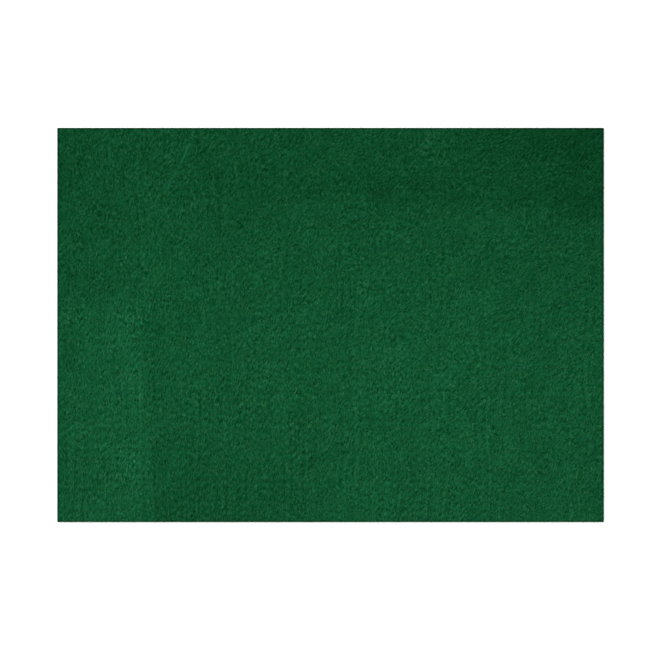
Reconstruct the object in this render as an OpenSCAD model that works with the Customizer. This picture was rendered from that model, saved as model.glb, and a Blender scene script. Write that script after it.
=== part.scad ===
// Rectangular sheet of needle-punched felt for a card table, lying flat.
// Origin at the centre of the underside: +X along the long side, +Y along the short side, +Z up.

/* [Sheet] */
// Length of the long side, in mm
sheet_length = 305; // [200:1:600]
// Length of the short side, in mm
sheet_width = 220; // [150:1:400]
// Thickness of the felt, in mm
sheet_thickness = 2; // [1:0.25:5]

/* [Hidden] */
felt_green = "#124e2d";

// Outline of the sheet, which is cut square at all four corners.
module sheet_outline() {
    square([sheet_length, sheet_width], center = true);
}

// The felt itself: one layer of needled fibres, the same all through, with no hem and no backing.
module felt_sheet() {
    color(felt_green)
        linear_extrude(height = sheet_thickness)
            sheet_outline();
}

felt_sheet();
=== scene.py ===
"""Green needle-punched felt sheet, lying flat on a white studio floor.

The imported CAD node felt_sheet gives the size and place. This script replaces it with a dense felt body,
adds the loose fibres that lie on its face and stand out of its cut edges, and lights and frames the scene.

Lengths are in millimetres in the noise, relief, fibre and material parts, and in names that end in MM. They
are in metres in the stage and in all that Blender is given. From above, +X is to the right and +Y is far.
"""

import math

import bpy
import numpy as np
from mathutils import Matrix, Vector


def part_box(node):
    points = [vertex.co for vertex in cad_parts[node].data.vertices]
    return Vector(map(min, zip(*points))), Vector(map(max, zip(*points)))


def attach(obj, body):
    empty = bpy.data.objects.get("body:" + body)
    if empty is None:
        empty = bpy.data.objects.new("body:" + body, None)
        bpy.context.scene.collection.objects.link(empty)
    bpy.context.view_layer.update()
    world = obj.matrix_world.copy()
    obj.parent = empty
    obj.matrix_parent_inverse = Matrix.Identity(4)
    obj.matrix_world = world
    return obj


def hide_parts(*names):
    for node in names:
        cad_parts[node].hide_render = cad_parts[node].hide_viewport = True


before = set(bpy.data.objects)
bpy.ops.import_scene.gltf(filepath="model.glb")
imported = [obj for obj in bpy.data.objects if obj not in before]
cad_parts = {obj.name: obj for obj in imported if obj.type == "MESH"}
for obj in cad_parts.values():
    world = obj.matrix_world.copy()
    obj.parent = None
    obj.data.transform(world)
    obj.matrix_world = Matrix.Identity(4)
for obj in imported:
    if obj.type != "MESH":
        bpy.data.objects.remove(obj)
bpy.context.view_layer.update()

MM = 0.001
sheet_low, sheet_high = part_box("felt_sheet")
LENGTH, WIDTH, THICKNESS = sheet_high - sheet_low
LENGTH_MM, WIDTH_MM, THICKNESS_MM = LENGTH / MM, WIDTH / MM, THICKNESS / MM

# How the felt was made. Its fibres lean up to the right, by an angle that turns a little with each mm of x
# and y, and the needle loom leaves marks in rows and columns, with another beat along y from its strokes.
LEAN_DEG = 54.0
LEAN_TURN_X, LEAN_TURN_Y = -0.0014, -0.0007
NEEDLE_PITCH_X, NEEDLE_PITCH_Y = 4.9, 4.4
STROKE_Y = 5.5

# Two fold marks, as from a packet. The first runs from left to right and comes nearer on the way. The second
# runs from near to far, and has on its left a band with a painted highlight, which ends at BAND_TOP_Y_MM.
FOLD_Y_MM, FOLD_Y_SLOPE = 70.0, -0.054
FOLD_X_MM, FOLD_X_SLOPE = -105.0, -0.062
BAND_TOP_Y_MM = 14.0

# A pressed crease in the far left part, a slack S with a broader root by the far edge: the x and y of its
# middle, and its lean, bend and twist there.
CREASE = (-85.4, 87.0, 0.57, -0.0014, -0.00045)
CREASE_ROOT_Y_MM = 99.0

SEED = 20
NOISE_CELLS = 512


# ---------------------------------------------------------------- noise


def lattice_noise(x, y, cell, seed):
    """Gradient noise from about -1 to 1, with features about one cell across, repeating after NOISE_CELLS."""
    turn = np.random.default_rng(seed).random((NOISE_CELLS, NOISE_CELLS)) * 2 * math.pi
    gx, gy = np.cos(turn), np.sin(turn)
    u, v = x / cell, y / cell
    i, j = np.floor(u).astype(int), np.floor(v).astype(int)
    fu, fv = u - i, v - j

    def corner(di, dj):
        a, b = (i + di) % NOISE_CELLS, (j + dj) % NOISE_CELLS
        return gx[a, b] * (fu - di) + gy[a, b] * (fv - dj)

    su = fu * fu * fu * (fu * (fu * 6 - 15) + 10)
    sv = fv * fv * fv * (fv * (fv * 6 - 15) + 10)
    low = corner(0, 0) * (1 - su) + corner(1, 0) * su
    high = corner(0, 1) * (1 - su) + corner(1, 1) * su
    return 1.5 * (low * (1 - sv) + high * sv)


def smoothstep(value, low, high):
    t = np.clip((value - low) / (high - low), 0, 1)
    return t * t * (3 - 2 * t)


# ---------------------------------------------------------------- relief of the felt's face

# The tufts sway, so that they are wavy: the size of the sway and its reach. They come in two layers, each
# with a size, a squeeze along the lie of the fibres, and a height.
SWAY_SIZE, SWAY_REACH = 7.0, 1.6
COARSE_TUFTS = (2.6, 0.55, 0.05)
FINE_TUFTS = (1.7, 0.6, 0.06)

# How deep the needle loom's dimples, rows and strokes are.
DIMPLE_DEPTH, ROW_DEPTH, STROKE_DEPTH = 0.012, 0.008, 0.008

# Slow waves, as size and height. A fold mark has a height, a half width, and how far it strays from straight.
LONG_WAVES = (85.0, 0.10)
SHORT_WAVES = (34.0, 0.05)
FOLD_WANDER_SIZE = 40.0
FOLD_Y_HEIGHT, FOLD_Y_HALF, FOLD_Y_WANDER = 0.10, 4.0, 1.5
FOLD_X_HEIGHT, FOLD_X_HALF, FOLD_X_WANDER = 0.08, 2.5, 1.0

# How far the face is pressed down at a cut edge, and how far in from the edge that is full and gone.
EDGE_PRESS = 0.45
EDGE_PRESS_FULL, EDGE_PRESS_GONE = -0.4, 1.6


def along_lean(x, y):
    """Coordinates across and along the lie of the fibres, bent a little so that the tufts are wavy."""
    turn = math.radians(LEAN_DEG)
    sway = SWAY_REACH * lattice_noise(x, y, SWAY_SIZE, SEED + 1)
    across = x * math.sin(turn) - y * math.cos(turn) + sway
    along = x * math.cos(turn) + y * math.sin(turn)
    return across, along


def tuft_relief(x, y):
    across, along = along_lean(x, y)

    def tufts(size, squeeze, height, seed):
        return height * lattice_noise(across, along * squeeze, size, seed)

    return tufts(*COARSE_TUFTS, SEED + 2) + tufts(*FINE_TUFTS, SEED + 3)


def needle_relief(x, y):
    """Shallow dimples on the needle loom's lattice."""
    column = np.cos(2 * math.pi * x / NEEDLE_PITCH_X)
    row = np.cos(2 * math.pi * y / NEEDLE_PITCH_Y)
    stroke = np.cos(2 * math.pi * y / STROKE_Y)
    return -DIMPLE_DEPTH * column * row - ROW_DEPTH * row - STROKE_DEPTH * stroke


def undulation(x, y):
    """The slow waves of a limp sheet that has been in a packet, and its two fold marks."""

    def waves(size, height, seed):
        return height * lattice_noise(x, y, size, seed)

    def fold_mark(distance, height, half):
        return height * np.exp(-((distance / half) ** 2))

    slow = waves(*LONG_WAVES, SEED + 4) + waves(*SHORT_WAVES, SEED + 5)
    fold_y = FOLD_Y_MM + FOLD_Y_SLOPE * x + waves(FOLD_WANDER_SIZE, FOLD_Y_WANDER, SEED + 6)
    fold_x = FOLD_X_MM + FOLD_X_SLOPE * y + waves(FOLD_WANDER_SIZE, FOLD_X_WANDER, SEED + 7)
    below_band_top = smoothstep(-y, -BAND_TOP_Y_MM - 20, 20)
    first_fold = fold_mark(y - fold_y, FOLD_Y_HEIGHT, FOLD_Y_HALF)
    second_fold = fold_mark(x - fold_x, FOLD_X_HEIGHT, FOLD_X_HALF) * below_band_top
    return slow + first_fold + second_fold


def face_height(x, y):
    """Height of the felt's face at each point, pressed down a little along the cut edges."""
    to_edge = np.minimum(LENGTH_MM / 2 - np.abs(x), WIDTH_MM / 2 - np.abs(y))
    pressed = EDGE_PRESS * (1 - smoothstep(to_edge, EDGE_PRESS_FULL, EDGE_PRESS_GONE))
    return THICKNESS_MM + tuft_relief(x, y) + needle_relief(x, y) + undulation(x, y) - pressed


# ---------------------------------------------------------------- the felt body

# Cells of the face are under a millimetre. The underside has one cell for each three by three of them. It is
# uneven, in lumps of this size that rise to about twice this height.
CELLS_X, CELLS_Y = 339, 243
UNDER_STEP = 3
UNDER_LUMP_SIZE, UNDER_LUMP_HEIGHT = 6.0, 0.05

# The cut sides go down in rings. They start a little way in, bulge, and are ragged in strands of this size.
# For the ragged noise, points on the rim and the rings are about so far apart.
SIDE_RINGS = 5
SIDE_INSET, SIDE_BULGE, SIDE_RAGGED = 0.12, 0.10, 0.065
SIDE_STRAND_SIZE = 1.6
RIM_STEP, RING_STEP = 0.9, 0.7


def new_piece(name, vertices, faces, material):
    mesh = bpy.data.meshes.new(name)
    mesh.from_pydata(vertices, [], faces)
    mesh.materials.append(material)
    mesh.polygons.foreach_set("use_smooth", [True] * len(mesh.polygons))
    mesh.update()
    piece = bpy.data.objects.new(name, mesh)
    bpy.context.scene.collection.objects.link(piece)
    return piece


def rim_indices(nx, ny):
    """Grid positions (i, j) once round the rim of nx by ny cells, anticlockwise from the low corner."""
    south = [(i, 0) for i in range(nx)]
    east = [(nx, j) for j in range(ny)]
    north = [(i, ny) for i in range(nx, 0, -1)]
    west = [(0, j) for j in range(ny, 0, -1)]
    return south + east + north + west


def face_id(i, j):
    """The number of the face's vertex at grid position (i, j)."""
    return i * (CELLS_Y + 1) + j


def side_rings(rim_top):
    """Points of the cut sides, ring by ring, from just under the rim of the face down to the floor."""
    outward = np.trunc(rim_top[:, :2] / (LENGTH_MM / 2, WIDTH_MM / 2))
    walk = np.arange(len(rim_top)) * RIM_STEP
    rings = []
    for ring in range(1, SIDE_RINGS + 1):
        down = ring / SIDE_RINGS
        depth = np.full(len(rim_top), ring * RING_STEP)
        bulge = SIDE_BULGE * math.sin(math.pi * down)
        ragged = SIDE_RAGGED * lattice_noise(walk, depth, SIDE_STRAND_SIZE, SEED + 8)
        side = rim_top.copy()
        side[:, :2] += outward * (bulge + ragged - SIDE_INSET)[:, None]
        side[:, 2] = rim_top[:, 2] * (1 - down)
        rings.append(side)
    return rings


def ring_faces(upper, lower):
    """Outward faces between two rings of vertices that run anticlockwise."""
    faces = []
    for k in range(len(upper)):
        n = (k + 1) % len(upper)
        faces.append((upper[n], upper[k], lower[k], lower[n]))
    return faces


def underside(xs, ys, base, first_id):
    """Inner points of the coarse underside, and all its faces.

    base gives the vertices of the lowest ring by grid position, and every one of them is in a face.
    """
    nx, ny = CELLS_X // UNDER_STEP, CELLS_Y // UNDER_STEP
    inside = [(i, j) for i in range(1, nx) for j in range(1, ny)]
    inner = {place: first_id + k for k, place in enumerate(inside)}
    flat = np.array([(xs[i * UNDER_STEP], ys[j * UNDER_STEP]) for i, j in inside])
    lumps = lattice_noise(flat[:, 0], flat[:, 1], UNDER_LUMP_SIZE, SEED + 9)
    points = np.column_stack([flat, np.clip(UNDER_LUMP_HEIGHT * (1 + lumps), 0, None)])

    def cell_side(i0, j0, i1, j1):
        """Vertices from one corner of a cell up to the next, not that one, with the fine ones on the rim."""
        on_rim = (i0 == i1 and i0 in (0, nx)) or (j0 == j1 and j0 in (0, ny))
        if on_rim:
            di, dj = i1 - i0, j1 - j0
            return [base[i0 * UNDER_STEP + di * s, j0 * UNDER_STEP + dj * s] for s in range(UNDER_STEP)]
        if (i0, j0) in inner:
            return [inner[i0, j0]]
        return [base[i0 * UNDER_STEP, j0 * UNDER_STEP]]

    faces = [
        cell_side(i, j, i, j + 1)
        + cell_side(i, j + 1, i + 1, j + 1)
        + cell_side(i + 1, j + 1, i + 1, j)
        + cell_side(i + 1, j, i, j)
        for i in range(nx)
        for j in range(ny)
    ]
    return points, faces


def felt_body(material):
    """A closed mesh: displaced face, fibrous cut edges in rings, and a slightly uneven underside."""
    xs = np.linspace(-LENGTH_MM / 2, LENGTH_MM / 2, CELLS_X + 1)
    ys = np.linspace(-WIDTH_MM / 2, WIDTH_MM / 2, CELLS_Y + 1)
    x, y = np.meshgrid(xs, ys, indexing="ij")
    face = np.stack([x, y, face_height(x, y)], -1)
    faces = [
        (face_id(i, j), face_id(i + 1, j), face_id(i + 1, j + 1), face_id(i, j + 1))
        for i in range(CELLS_X)
        for j in range(CELLS_Y)
    ]

    rim = rim_indices(CELLS_X, CELLS_Y)
    rings = side_rings(np.array([face[i, j] for i, j in rim]))
    upper = [face_id(i, j) for i, j in rim]
    count = (CELLS_X + 1) * (CELLS_Y + 1)
    for _ in rings:
        lower = list(range(count, count + len(rim)))
        faces += ring_faces(upper, lower)
        upper = lower
        count += len(rim)

    under_points, under_faces = underside(xs, ys, dict(zip(rim, upper)), count)
    vertices = np.concatenate([face.reshape(-1, 3), *rings, under_points]) * MM
    return new_piece("felt_body", vertices.tolist(), faces + under_faces, material)


# ---------------------------------------------------------------- loose fibres

# Fibres on the face: how many are tried, the shortest and longest, and the thinnest and thickest radius.
# They stray from the lean by so many radians, and curl by so many for each mm of length. They rise in an arch
# from just under the face, and thin by this share to their ends. They keep the margin from the cut edges.
FACE_FIBRES, FACE_FIBRE_POINTS = 5600, 6
FACE_FIBRE_LENGTH, FACE_FIBRE_RADIUS = (2.5, 8.0), (0.025, 0.055)
FACE_FIBRE_STRAY, FACE_FIBRE_CURL = 0.55, 0.16
FACE_FIBRE_ARCH, FACE_FIBRE_TUCK = (0.05, 0.16), 0.06
FACE_FIBRE_TAPER = 0.5
FACE_FIBRE_MARGIN = 0.6

# Cut ends on the edges: how many, how far they stand out, and their radius. Each is rooted a little inside
# the edge, at least so far above the underside and below the face. It strays sideways, rises or falls, and
# droops, by shares of its length, and stays above the lowest height.
EDGE_FIBRES, EDGE_FIBRE_POINTS = 1800, 4
EDGE_FIBRE_LENGTH, EDGE_FIBRE_RADIUS = (0.15, 0.55), (0.018, 0.035)
EDGE_FIBRE_ROOT = 0.3
EDGE_FIBRE_ABOVE, EDGE_FIBRE_BELOW = 0.2, 0.35
EDGE_FIBRE_SPREAD, EDGE_FIBRE_RISE, EDGE_FIBRE_DROOP = 0.5, 0.35, 0.25
EDGE_FIBRE_TAPER = 0.6
EDGE_FIBRE_LOWEST = 0.05


def swept_fibres(name, paths, radii, material):
    """Closed tubes of three sides, one along each path.

    paths is fibres by points by 3, and radii is fibres by points.
    """
    fibres, points = radii.shape
    tangent = np.gradient(paths, axis=1)
    tangent /= np.linalg.norm(tangent, axis=2, keepdims=True)
    side = np.cross(tangent, (0.0, 0.0, 1.0))
    side /= np.linalg.norm(side, axis=2, keepdims=True)
    up = np.cross(side, tangent)
    corners = []
    for turn in np.radians((90, 210, 330)):
        corners.append(paths + radii[..., None] * (math.cos(turn) * side + math.sin(turn) * up))
    vertices = np.stack(corners, 2).reshape(-1, 3) * MM

    ids = np.arange(fibres * points * 3).reshape(fibres, points, 3)
    here, there = ids[:, :-1], ids[:, 1:]
    walls = np.stack([here, there, np.roll(there, -1, 2), np.roll(here, -1, 2)], -1).reshape(-1, 4)
    caps = np.concatenate([ids[:, 0], ids[:, -1, ::-1]])
    return new_piece(name, vertices.tolist(), walls.tolist() + caps.tolist(), material)


def face_fibres(material):
    """Loose fibres that lie on the face, mostly along the lie of the nap, with both ends tucked into it."""
    rng = np.random.default_rng(SEED + 10)
    one_each = (FACE_FIBRES, 1)
    along = np.linspace(0, 1, FACE_FIBRE_POINTS)
    middle_x = rng.uniform(-0.5, 0.5, one_each) * LENGTH_MM
    middle_y = rng.uniform(-0.5, 0.5, one_each) * WIDTH_MM
    lean = math.radians(LEAN_DEG) + LEAN_TURN_X * middle_x + LEAN_TURN_Y * middle_y
    length = rng.uniform(*FACE_FIBRE_LENGTH, one_each)
    stray = rng.normal(0, FACE_FIBRE_STRAY, one_each)
    curl = rng.normal(0, FACE_FIBRE_CURL, one_each)
    heading = lean + stray + curl * length * (along - 0.5)
    steps = length / (FACE_FIBRE_POINTS - 1)
    x = np.cumsum(np.cos(heading), axis=1) * steps
    y = np.cumsum(np.sin(heading), axis=1) * steps
    x += middle_x - x.mean(axis=1, keepdims=True)
    y += middle_y - y.mean(axis=1, keepdims=True)
    inside_x = np.abs(x).max(axis=1) < LENGTH_MM / 2 - FACE_FIBRE_MARGIN
    inside_y = np.abs(y).max(axis=1) < WIDTH_MM / 2 - FACE_FIBRE_MARGIN
    inside = inside_x & inside_y
    arch = np.sin(math.pi * along) * rng.uniform(*FACE_FIBRE_ARCH, one_each) - FACE_FIBRE_TUCK
    taper = 1 - FACE_FIBRE_TAPER * np.abs(2 * along - 1) ** 3
    radius = rng.uniform(*FACE_FIBRE_RADIUS, one_each) * taper
    paths = np.stack([x, y, face_height(x, y) + arch], -1)
    return swept_fibres("face_fibres", paths[inside], radius[inside], material)


def edge_fibres(material):
    """Short cut fibre ends that stand out of the four edges, at every height, and droop a little."""
    rng = np.random.default_rng(SEED + 11)
    along = np.linspace(0, 1, EDGE_FIBRE_POINTS)
    around = rng.uniform(0, 2 * (LENGTH_MM + WIDTH_MM), EDGE_FIBRES)
    on_long_edge = around < 2 * LENGTH_MM
    sign = np.where(rng.random(EDGE_FIBRES) < 0.5, -1.0, 1.0)
    place = np.where(on_long_edge, around / 2 - LENGTH_MM / 2, around / 2 - LENGTH_MM - WIDTH_MM / 2)
    out = np.where(on_long_edge[:, None], np.stack([0 * sign, sign], -1), np.stack([sign, 0 * sign], -1))
    sideways = out[:, ::-1]
    rim = np.where(on_long_edge, WIDTH_MM / 2, LENGTH_MM / 2)
    length = rng.uniform(*EDGE_FIBRE_LENGTH, EDGE_FIBRES)
    spread = rng.normal(0, EDGE_FIBRE_SPREAD, EDGE_FIBRES)
    reach = -EDGE_FIBRE_ROOT + along * (length + EDGE_FIBRE_ROOT)[:, None]
    flat = (
        out[:, None] * (rim[:, None] + reach)[..., None]
        + sideways[:, None] * (sign * place)[:, None, None]
        + sideways[:, None] * (spread[:, None] * along * length[:, None])[..., None]
    )
    root = rng.uniform(EDGE_FIBRE_ABOVE, THICKNESS_MM - EDGE_FIBRE_BELOW, EDGE_FIBRES)
    rise = rng.normal(0, EDGE_FIBRE_RISE, EDGE_FIBRES) * length
    height = root[:, None] + rise[:, None] * along - EDGE_FIBRE_DROOP * length[:, None] * along**2
    paths = np.concatenate([flat, np.maximum(height, EDGE_FIBRE_LOWEST)[..., None]], -1)
    taper = 1 - EDGE_FIBRE_TAPER * along**2
    radius = rng.uniform(*EDGE_FIBRE_RADIUS, EDGE_FIBRES)[:, None] * taper
    return swept_fibres("edge_fibres", paths, radius, material)


# ---------------------------------------------------------------- node trees


class Tree:
    """A node tree that is built by naming each node's kind, inputs and settings."""

    def __init__(self, material):
        self.nodes = material.node_tree.nodes
        self.links = material.node_tree.links

    def add(self, kind, inputs=None, out=0, **settings):
        node = self.nodes.new("ShaderNode" + kind)
        for name, value in settings.items():
            setattr(node, name, value)
        for key, value in (inputs or {}).items():
            self.feed(node.inputs[key], value)
        return node.outputs[out]

    def feed(self, socket, value):
        if isinstance(value, bpy.types.NodeSocket):
            self.links.new(value, socket)
        else:
            socket.default_value = value

    def math(self, operation, a, b=0.0, c=0.0):
        return self.add("Math", {0: a, 1: b, 2: c}, operation=operation)

    def vector(self, operation, a, b=(0, 0, 0)):
        return self.add("VectorMath", {0: a, 1: b}, operation=operation)

    def scaled(self, vector, factors):
        return self.vector("MULTIPLY", vector, factors)

    def turned(self, vector, degrees):
        """The coordinates turned back by so many degrees, so that their x runs along that direction."""
        inputs = {"Vector": vector, "Angle": -math.radians(degrees)}
        return self.add("VectorRotate", inputs, rotation_type="Z_AXIS")

    def plane(self, vector):
        """A vector's x and y."""
        node = self.nodes.new("ShaderNodeSeparateXYZ")
        self.feed(node.inputs[0], vector)
        return node.outputs[0], node.outputs[1]

    def copy(self, vector, order):
        """The same coordinates in another part of the noise, so that no two textures are alike."""
        return self.vector("ADD", vector, (17.3 * order, 5.9 * order, 11.1 * order))

    def noise(self, vector, size, detail=0.0):
        """Noise from 0 to 1 whose features are about size across."""
        return self.add("TexNoise", {"Vector": vector, "Scale": 1 / size, "Detail": detail})

    def swing(self, vector, size, detail=0.0):
        """Noise from -0.5 to 0.5."""
        return self.math("SUBTRACT", self.noise(vector, size, detail), 0.5)

    def wobble(self, vector, size, reach):
        """A shift that changes from place to place, over about size, by up to half of reach each way."""
        shift = self.add("TexNoise", {"Vector": vector, "Scale": 1 / size, "Detail": 0.0}, out=1)
        return self.scaled(self.vector("SUBTRACT", shift, (0.5, 0.5, 0.5)), reach)

    def ramp(self, value, low, high, to_low=0.0, to_high=1.0):
        """A smooth change from to_low at low to to_high at high, and level beyond them."""
        inputs = {0: value, 1: low, 2: high, 3: to_low, 4: to_high}
        return self.add("MapRange", inputs, interpolation_type="SMOOTHSTEP")

    def bell(self, position, centre, width):
        """1 at centre, about a third one width away, and next to nothing two widths away."""
        away = self.math("DIVIDE", self.math("SUBTRACT", position, centre), width)
        return self.math("EXPONENT", self.math("MULTIPLY", self.math("MULTIPLY", away, away), -1.0))


def rgb(red, green, blue):
    return (red, green, blue, 1.0)


# ---------------------------------------------------------------- felt material: fibres and needle marks

# Fibre layers, fine and broad: lean in degrees, size across and along the fibre, and strength.
FINE_LAYERS = (
    (72.0, 0.80, 1.92, 0.90),
    (54.0, 0.67, 1.10, 0.89),
    (96.0, 0.80, 1.15, 0.42),
    (60.0, 0.17, 2.60, 0.46),
    (105.0, 0.15, 2.20, 0.36),
    (15.0, 0.15, 2.20, 0.30),
)
BROAD_LAYERS = (
    (54.0, 1.4, 3.6, 0.38),
    (52.0, 3.0, 12.0, 0.13),
)

# How far the fibres' paths bend, slowly and quickly: the size of the bends, and their reach in x, y and z.
SLOW_BEND_SIZE, SLOW_BEND = 24.0, (8.0, 8.0, 0.0)
QUICK_BEND_SIZE, QUICK_BEND = 2.8, (0.8, 0.8, 0.3)

# The fine layers are crisper in some patches, of this size, than in others.
CRISP_PATCH_SIZE = 5.5
LEAST_CRISP, MOST_CRISP = 0.72, 1.16

# The needle marks are made as if by three boards of needles, each with a pattern that repeats after so far
# across the sheet. A pass is how far the felt moves on for a stroke, its board, and how many marks each of
# its families has in one repeat. 0 is a straight row, and a minus sign is a lean to the left.
FIRST_BOARD, SECOND_BOARD, THIRD_BOARD = 9.6, 10.0, 11.4
NEEDLE_PASSES = (
    (NEEDLE_PITCH_Y, FIRST_BOARD, (1, 2, 3, -1)),
    (4.13, SECOND_BOARD, (0, 5, 2, -1)),
    (5.6, THIRD_BOARD, (0, 1, 4)),
)

# Columns, in which the marks of one board lie behind each other whatever the stroke: the board, and how many
# columns it has in one repeat.
NEEDLE_COLUMNS = ((SECOND_BOARD, 2), (THIRD_BOARD, 2), (THIRD_BOARD, 3), (FIRST_BOARD, 4), (SECOND_BOARD, 3))
NEEDLE_STRENGTH = 0.026

# Each wave of marks starts this much further on than the last, so that they don't all peak together.
FIRST_ROW_PHASE, FIRST_COLUMN_PHASE, PHASE_STEP = 0.0, 1.0, 2.4

# The marks drift with the cloth: size and reach. They are weak in some patches, of this size, and strong in
# others, and stronger by the near edge than by the far one.
NEEDLE_DRIFT_SIZE, NEEDLE_DRIFT = 48.0, (9.0, 5.0, 0.0)
NEEDLE_PATCH_SIZE = 24.0
WEAK_ROWS, STRONG_ROWS = 0.55, 1.3
WEAK_COLUMNS, STRONG_COLUMNS = 0.25, 1.25
NEAR_MARKS, FAR_MARKS = 1.15, 0.85

# Which copy of the noise each texture takes. Each layer of fibres takes the one after the last layer's.
BROAD_COPY, FINE_COPY, HUE_COPY, CRISP_COPY, ROWS_COPY, COLUMNS_COPY = 2, 6, 9, 12, 20, 21


def combed(t, place, x, y):
    """Coordinates that turn the lie of the fibres slowly across the sheet, and bend it here and there."""
    xy = t.math("MULTIPLY", x, y)
    xx = t.math("MULTIPLY", x, x)
    yy = t.math("MULTIPLY", y, y)
    turn_x = t.math("MULTIPLY_ADD", xy, LEAN_TURN_X, t.math("MULTIPLY", yy, LEAN_TURN_Y / 2))
    turn_y = t.math("MULTIPLY_ADD", xy, -LEAN_TURN_Y, t.math("MULTIPLY", xx, -LEAN_TURN_X / 2))
    turn = t.add("CombineXYZ", {0: turn_x, 1: turn_y})
    slow_bend = t.wobble(place, SLOW_BEND_SIZE, SLOW_BEND)
    quick_bend = t.wobble(place, QUICK_BEND_SIZE, QUICK_BEND)
    return t.vector("ADD", t.vector("ADD", place, turn), t.vector("ADD", slow_bend, quick_bend))


def fibre_texture(t, combed_place, layers, first_copy):
    """Light and dark of the fibres, about 0 on average: tangled tufts and leaning strands."""
    total = 0.0
    for copy, (lean, across, along, strength) in enumerate(layers, start=first_copy):
        stretched = t.scaled(t.turned(combed_place, lean), (1 / along, 1 / across, 1 / across))
        strands = t.swing(t.copy(stretched, copy), 1.0)
        total = t.math("MULTIPLY_ADD", strands, strength, total)
    return total


def needle_texture(t, place):
    """Light and dark of the needle marks, a sum of waves that beat against each other."""
    x, y = t.plane(t.vector("ADD", place, t.wobble(place, NEEDLE_DRIFT_SIZE, NEEDLE_DRIFT)))
    near = t.ramp(y, -90.0, 70.0, NEAR_MARKS, FAR_MARKS)
    rows = []
    for stroke, repeat, counts in NEEDLE_PASSES:
        rows += [(count / repeat, 1 / stroke) for count in counts]
    columns = [(count / repeat, 0.0) for repeat, count in NEEDLE_COLUMNS]
    families = (
        (rows, FIRST_ROW_PHASE, ROWS_COPY, WEAK_ROWS, STRONG_ROWS),
        (columns, FIRST_COLUMN_PHASE, COLUMNS_COPY, WEAK_COLUMNS, STRONG_COLUMNS),
    )
    total = 0.0
    for waves, first_phase, copy, weak, strong in families:
        marks = 0.0
        for order, (per_mm_x, per_mm_y) in enumerate(waves):
            steps = t.math("MULTIPLY_ADD", x, 2 * math.pi * per_mm_x, PHASE_STEP * order + first_phase)
            angle = t.math("MULTIPLY_ADD", y, -2 * math.pi * per_mm_y, steps)
            marks = t.math("ADD", t.math("COSINE", angle), marks)
        presence = t.ramp(t.noise(t.copy(place, copy), NEEDLE_PATCH_SIZE), 0.36, 0.64, weak, strong)
        total = t.math("MULTIPLY_ADD", t.math("MULTIPLY", marks, near), presence, total)
    return total


# ---------------------------------------------------------------- felt material: painted light and shade of the nap

# Spots a little lighter or darker than the nap around them: x, y, size and strength.
NAP_SPOTS = (
    (41.0, -18.0, 7.0, 0.10),
    (94.0, -64.0, 7.0, 0.10),
    (-21.0, 6.0, 5.0, 0.06),
    (-117.0, -9.0, 6.0, 0.05),
    (22.0, 12.0, 4.0, 0.09),
    (61.0, -35.0, 5.0, 0.05),
    (-33.0, -40.0, 5.0, 0.05),
    (33.0, -92.0, 6.0, 0.05),
    (-89.0, 65.0, 5.0, 0.07),
    (-71.0, 94.0, 4.0, -0.08),
    (-89.0, 49.0, 5.0, -0.06),
    (-58.0, 48.0, 6.0, -0.06),
    (78.0, 45.0, 4.0, 0.07),
    (85.0, -24.0, 6.0, 0.05),
)
SPOT_STRETCH_Y = 1.4

# Light lines where the nap is pressed smooth, the crease and two shorter ones; along the crease the light is
# a painted highlight on its ridge. x and y of the middle, lean, bend and twist there, half the length, and
# strength.
# The fine texture fades by so many times the strength.
NAP_LINES = (
    (*CREASE, 17.0, 0.36),
    (-142.0, 59.5, 0.73, 0.06, 0.0, 7.0, 0.33),
    (-104.0, 37.0, 0.05, 0.0, 0.0, 4.5, 0.30),
)
LINE_WIDTH = 0.65
LINE_SMOOTHING = 2.0

# The cut edges look dark in a thin line, this far in and this wide, and each by its own strength.
EDGE_LINE_IN, EDGE_LINE_WIDTH = 0.55, 0.6
LEFT_DARK, RIGHT_DARK, FAR_DARK, NEAR_DARK = -0.64, -0.30, -0.33, -0.20

# How far the dark of the far right corner reaches along x and along y.
CORNER_X, CORNER_Y = 88.0, 50.0

# The size and reach of the wander that keeps the larger areas' borders from being straight.
WANDER_SIZE, WANDER = 22.0, 14.0

# Uneven dye and fibre density: patches drawn out along the lean, and round clouds, each with its strength.
PATCH_ALONG, PATCH_ACROSS, PATCH_STRENGTH = 19.0, 9.5, 0.28
CLOUD_SIZE, CLOUD_STRENGTH = 48.0, 0.12


def from_line(t, x, y, line_x, line_y, slope, bend, twist):
    """How far a point is to the right of a line that passes through (line_x, line_y).

    At up beyond that point, the line is slope * up + bend * up**2 + twist * up**3 further to the right.
    """
    up = t.math("SUBTRACT", y, line_y)
    steepness = t.math("MULTIPLY_ADD", up, t.math("MULTIPLY_ADD", up, twist, bend), slope)
    return t.math("SUBTRACT", t.math("SUBTRACT", x, line_x), t.math("MULTIPLY", up, steepness))


def nap_lines(t, x, y):
    """The light lines, 0 at their sides and ends and up to their own strength along their middles."""
    total = 0.0
    for *line, half_length, strength in NAP_LINES:
        across = t.bell(from_line(t, x, y, *line), 0.0, LINE_WIDTH)
        from_middle = t.math("ABSOLUTE", t.math("SUBTRACT", y, line[1]))
        along = t.ramp(from_middle, half_length * 0.6, half_length, 1.0, 0.0)
        total = t.math("MULTIPLY_ADD", t.math("MULTIPLY", across, along), strength, total)
    return total


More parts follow.
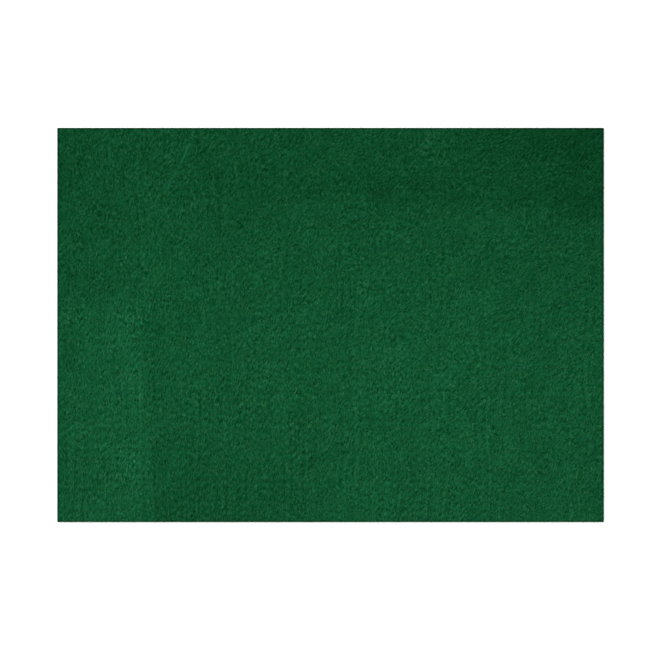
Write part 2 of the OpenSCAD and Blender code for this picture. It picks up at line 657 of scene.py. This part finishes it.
def painted_nap_shade(t, place, x, y):
    """How much lighter or darker the nap is from place to place: mostly painted light and shade of the folds,
    the crease and the laid nap, with dark cut edges and spots.
    """
    wander = t.math("MULTIPLY", t.swing(place, WANDER_SIZE, detail=2.0), WANDER)
    rough_x = t.math("ADD", x, wander)
    rough_y = t.math("ADD", y, wander)

    above_fold = t.math("SUBTRACT", t.math("MULTIPLY_ADD", x, -FOLD_Y_SLOPE, rough_y), FOLD_Y_MM)
    past_fold = t.math("SUBTRACT", t.math("MULTIPLY_ADD", y, -FOLD_X_SLOPE, x), FOLD_X_MM)
    rough_past_fold = t.math("ADD", past_fold, wander)
    right = t.ramp(x, -80.0, -10.0)
    left = t.math("SUBTRACT", 1.0, right)

    corner_x = t.math("DIVIDE", t.math("SUBTRACT", LENGTH_MM / 2, rough_x), CORNER_X)
    corner_y = t.math("DIVIDE", t.math("SUBTRACT", WIDTH_MM / 2, rough_y), CORNER_Y)
    corner_squares = t.math("ADD", t.math("POWER", corner_x, 2.0), t.math("POWER", corner_y, 2.0))
    to_corner = t.math("SQRT", corner_squares)

    # The band's top end falls away to the left, and its right border is crisp near and soft far.
    band_y = t.math("MULTIPLY_ADD", past_fold, -0.35, rough_y)
    below_band_top = t.ramp(band_y, BAND_TOP_Y_MM - 12, BAND_TOP_Y_MM + 14, 1.0, 0.0)
    band_edge = t.math("DIVIDE", past_fold, t.ramp(y, -45.0, 20.0, 1.0, 4.0))
    painted_highlight_band = t.math("MULTIPLY", below_band_top, t.ramp(band_edge, -2.5, 2.5, 1.0, 0.0))

    past_crease = from_line(t, x, y, *CREASE)
    crease_root = t.ramp(y, CREASE_ROOT_Y_MM - 5, CREASE_ROOT_Y_MM + 5)

    # Each part is a strength, and two factors from 0 to 1 that say where it is.
    parts = (
        # beyond the first fold, painted shade: soft on the left, crisp on the right with a painted shadow
        # line in it
        (-0.10, left, t.ramp(above_fold, -34.0, 14.0)),
        (-0.11, right, t.ramp(above_fold, -5.0, 4.0)),
        (-0.07, right, t.bell(above_fold, 8.0, 7.0)),
        (-0.05, t.ramp(rough_x, 70.0, 135.0), t.bell(above_fold, -7.0, 17.0)),
        # the far right corner, in painted shade
        (-0.28, t.ramp(to_corner, 0.0, 1.15, 1.0, 0.0), 1.0),
        # the far part of the left margin, and its near part
        (-0.065, t.ramp(rough_x, -146.0, -100.0, 1.0, 0.0), t.ramp(rough_y, 2.0, 22.0)),
        (-0.05, t.ramp(x, -150.0, -130.0, 1.0, 0.0), below_band_top),
        # the band, a painted highlight that is lightest in its middle, and painted shade in the second fold's
        # hollow on its right
        (0.042, painted_highlight_band, 1.0),
        (0.08, painted_highlight_band, t.bell(rough_past_fold, -8.0, 15.0)),
        (-0.03, below_band_top, t.bell(past_fold, 6.0, 5.0)),
        # two darker areas on the left: a painted shadow right of the band by the near edge, and one a little
        # beyond the middle
        (-0.12, t.bell(rough_x, -66.0, 40.0), t.bell(rough_y, -112.0, 44.0)),
        (-0.03, t.bell(rough_x, -62.0, 26.0), t.bell(rough_y, 34.0, 34.0)),
        # the middle of the near half, a little lighter, and the right margin, a little darker
        (0.045, t.bell(rough_x, 50.0, 62.0), t.bell(rough_y, -62.0, 66.0)),
        (-0.035, t.ramp(rough_x, 95.0, 150.0), t.ramp(y, -30.0, 40.0)),
        # the cut edges, pressed and dark
        (LEFT_DARK, t.bell(x, EDGE_LINE_IN - LENGTH_MM / 2, EDGE_LINE_WIDTH), 1.0),
        (RIGHT_DARK, t.bell(x, LENGTH_MM / 2 - EDGE_LINE_IN, EDGE_LINE_WIDTH), 1.0),
        (FAR_DARK, t.bell(y, WIDTH_MM / 2 - EDGE_LINE_IN, EDGE_LINE_WIDTH), 1.0),
        (NEAR_DARK, t.bell(y, EDGE_LINE_IN - WIDTH_MM / 2, EDGE_LINE_WIDTH), 1.0),
        # the left of the crease, painted lighter as its lit side, and its broad root at the far edge, a
        # painted highlight with a painted shadow on its right
        (0.04, t.bell(past_crease, -3.0, 6.0), t.ramp(y, CREASE_ROOT_Y_MM - 48, CREASE_ROOT_Y_MM - 24)),
        (0.12, t.bell(past_crease, 0.0, 1.9), crease_root),
        (-0.11, t.bell(past_crease, 4.4, 2.0), crease_root),
    )
    # The whole sheet gets a little darker towards the far edge: painted shade where the light falls off.
    tone = t.math("MULTIPLY", t.ramp(rough_y, -25.0, 80.0), -0.11)
    for strength, first, second in parts:
        tone = t.math("MULTIPLY_ADD", t.math("MULTIPLY", first, strength), second, tone)
    for spot_x, spot_y, size, strength in NAP_SPOTS:
        across = t.bell(rough_x, spot_x, size)
        spot = t.math("MULTIPLY", across, t.bell(rough_y, spot_y, size * SPOT_STRETCH_Y))
        tone = t.math("MULTIPLY_ADD", spot, strength, tone)
    return tone


def mottling(t, place, bent):
    """Uneven dye and fibre density, in patches drawn out along the lean and in larger clouds."""
    stretched = t.scaled(t.turned(bent, LEAN_DEG), (1 / PATCH_ALONG, 1 / PATCH_ACROSS, 1 / PATCH_ACROSS))
    tone = t.math("MULTIPLY", t.swing(stretched, 1.0, detail=1.5), PATCH_STRENGTH)
    return t.math("MULTIPLY_ADD", t.swing(place, CLOUD_SIZE, detail=1.0), CLOUD_STRENGTH, tone)


# ---------------------------------------------------------------- felt material: colour and surface

# Linear red, green and blue of the felt at its middle tone, and how strongly each follows the fine texture,
# the broad texture, the tone and a faint drift of hue. Crests are lighter and pits darker, partly as denser
# and sparser fibre and partly as painted shade in the pits. Red and blue follow the fine texture more than
# green does, so crests are paler than pits, a painted sheen. The textures are added to 1 and raised to a
# power.
FELT_GREEN = (0.00465, 0.0665, 0.02265)
FINE_SHARE = (1.45, 0.417, 0.68)
BROAD_SHARE = (0.52, 0.417, 0.47)
TONE_SHARE = (1.42, 1.0, 1.18)
HUE_SHARE = (0.39, 0.0, -0.21)
TEXTURE_POWER = 2.4
HUE_PATCH_SIZE = 5.5

# How high the texture's bumps are, the roughness of its pits and crests, and a faint green sheen.
BUMP_MM = 0.25
PIT_ROUGHNESS, CREST_ROUGHNESS = 0.98, 0.9
SHEEN_TINT = rgb(0.1, 0.8, 0.4)

# Loose fibres stand up into the light, and so are lighter than the felt.
LOOSE_LIFT = 1.3


def felt_colour(t, fine, broad, tone, hue, lift):
    """The felt's colour, from two textures, a tone and a drift of hue that are all about 0 on average."""
    channels = {}
    for channel, base in enumerate(FELT_GREEN):
        # Fibre density, with painted shade in the pits and a painted sheen on the crests, from the fine and
        # broad relief.
        density_and_painted_relief_shade = t.math("MULTIPLY_ADD", broad, BROAD_SHARE[channel], 1.0)
        density_and_painted_relief_shade = t.math("MAXIMUM", t.math("MULTIPLY_ADD", fine, FINE_SHARE[channel], density_and_painted_relief_shade), 0.0)
        density_and_painted_relief_shade = t.math("MULTIPLY", t.math("POWER", density_and_painted_relief_shade, TEXTURE_POWER), base * lift)
        exponent = t.math("MULTIPLY", hue, HUE_SHARE[channel])
        exponent = t.math("MULTIPLY_ADD", tone, TONE_SHARE[channel], exponent)
        channels[channel] = t.math("MULTIPLY", t.math("EXPONENT", exponent), density_and_painted_relief_shade)
    return t.add("CombineColor", channels)


def felt_material(name, lift=1.0):
    """Dyed green fibre: leaning wavy tufts with dark pits between, partly sparser fibre and partly painted
    shade, needle marks, mottling, and the painted light and shade of the laid nap.

    lift makes the whole colour that much lighter.
    """
    material = bpy.data.materials.new(name)
    material.use_nodes = True
    material.node_tree.nodes.clear()
    t = Tree(material)
    place = t.scaled(t.add("TexCoord", out=3), (1 / MM, 1 / MM, 1 / MM))
    x, y = t.plane(place)
    bent = combed(t, place, x, y)
    lines = nap_lines(t, x, y)

    patches = t.noise(t.copy(place, CRISP_COPY), CRISP_PATCH_SIZE, detail=1.0)
    crisp = t.ramp(patches, 0.3, 0.7, LEAST_CRISP, MOST_CRISP)
    crisp = t.math("MULTIPLY", t.math("MULTIPLY_ADD", lines, -LINE_SMOOTHING, 1.0), crisp)
    fine = t.math("MULTIPLY", fibre_texture(t, bent, FINE_LAYERS, FINE_COPY), crisp)
    broad = fibre_texture(t, bent, BROAD_LAYERS, BROAD_COPY)
    broad = t.math("MULTIPLY_ADD", needle_texture(t, place), NEEDLE_STRENGTH, broad)
    texture = t.math("ADD", fine, broad)
    tone = t.math("ADD", t.math("ADD", painted_nap_shade(t, place, x, y), lines), mottling(t, place, bent))
    hue = t.swing(t.copy(bent, HUE_COPY), HUE_PATCH_SIZE, detail=1.0)

    shader = t.add(
        "BsdfPrincipled",
        {
            "Base Color": felt_colour(t, fine, broad, tone, hue, lift),
            "Roughness": t.ramp(texture, -0.4, 0.4, PIT_ROUGHNESS, CREST_ROUGHNESS),
            "Normal": t.add("Bump", {"Strength": 1.0, "Distance": BUMP_MM * MM, "Height": texture}),
            "Specular IOR Level": 0.01,
            "Sheen Weight": 0.02,
            "Sheen Roughness": 0.5,
            "Sheen Tint": SHEEN_TINT,
        },
    )
    t.feed(t.nodes.new("ShaderNodeOutputMaterial").inputs["Surface"], shader)
    return material


# ---------------------------------------------------------------- stage, light and camera

WHITE = rgb(1.0, 1.0, 1.0)

# The floor is a light table, which keeps it white right up to the sheet's edges. It lies just under the
# sheet, and varies a little between two pale greys.
FLOOR_HALF, FLOOR_DROP = 4.0, 0.0001
FLOOR_GREYS = (0.93, 0.95)
FLOOR_GLOW = 0.3

# A white sky, and a key light: its place above and beyond the sheet on the left, its side and its watts.
SKY_STRENGTH = 1.0
KEY_PLACE, KEY_SIDE, KEY_POWER = (-1.6, 1.5, 1.7), 0.9, 38.0

# The camera is straight above the sheet, whose length takes up this share of the frame's width.
CAMERA_X, CAMERA_Y, CAMERA_DISTANCE = -0.00311, 0.0, 2.0
SENSOR_MM = 36.0
SHEET_SHARE_OF_FRAME = 0.8412


def studio_floor():
    material = bpy.data.materials.new("white_floor")
    material.use_nodes = True
    t = Tree(material)
    patches = t.add("TexNoise", {"Vector": t.add("TexCoord", out=3), "Scale": 3.0})
    grey = t.ramp(patches, 0.3, 0.7, *FLOOR_GREYS)
    look = {
        "Base Color": t.add("CombineColor", {0: grey, 1: grey, 2: grey}),
        "Emission Color": WHITE,
        "Emission Strength": FLOOR_GLOW,
        "Roughness": 0.9,
        "Specular IOR Level": 0.1,
    }
    shader = material.node_tree.nodes["Principled BSDF"]
    for socket, value in look.items():
        t.feed(shader.inputs[socket], value)
    signs = ((-1, -1), (1, -1), (1, 1), (-1, 1))
    corners = [(x * FLOOR_HALF, y * FLOOR_HALF, -FLOOR_DROP) for x, y in signs]
    floor = new_piece("studio_floor", corners, [(0, 1, 2, 3)], material)


def white_sky():
    world = bpy.data.worlds.new("studio")
    world.use_nodes = True
    background = world.node_tree.nodes["Background"]
    background.inputs["Color"].default_value = WHITE
    background.inputs["Strength"].default_value = SKY_STRENGTH
    bpy.context.scene.world = world


def key_light():
    """A soft square light that faces the middle of the sheet."""
    data = bpy.data.lights.new("key", "AREA")
    data.shape = "SQUARE"
    data.size = KEY_SIDE
    data.energy = KEY_POWER
    light = bpy.data.objects.new("key", data)
    light.location = KEY_PLACE
    direction = -light.location
    light.rotation_euler = direction.to_track_quat("-Z", "Y").to_euler()
    bpy.context.scene.collection.objects.link(light)


def overhead_camera():
    """Straight above the sheet, through a long lens, so that the sheet keeps its true proportions."""
    data = bpy.data.cameras.new("overhead")
    frame_width = LENGTH / SHEET_SHARE_OF_FRAME
    data.sensor_width = SENSOR_MM
    data.lens = SENSOR_MM * CAMERA_DISTANCE / frame_width
    data.clip_start, data.clip_end = 0.1, 20.0
    camera = bpy.data.objects.new("overhead", data)
    camera.location = (CAMERA_X, CAMERA_Y, sheet_high.z + CAMERA_DISTANCE)
    bpy.context.scene.collection.objects.link(camera)
    bpy.context.scene.camera = camera


bpy.context.scene.view_settings.view_transform = "Standard"
overhead_camera()
white_sky()
key_light()
studio_floor()

body = felt_body(felt_material("dyed_felt"))
loose_material = felt_material("loose_fibre", lift=LOOSE_LIFT)
loose = [face_fibres(loose_material), edge_fibres(loose_material)]
for piece in [body, *loose]:
    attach(piece, "root")
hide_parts("felt_sheet")
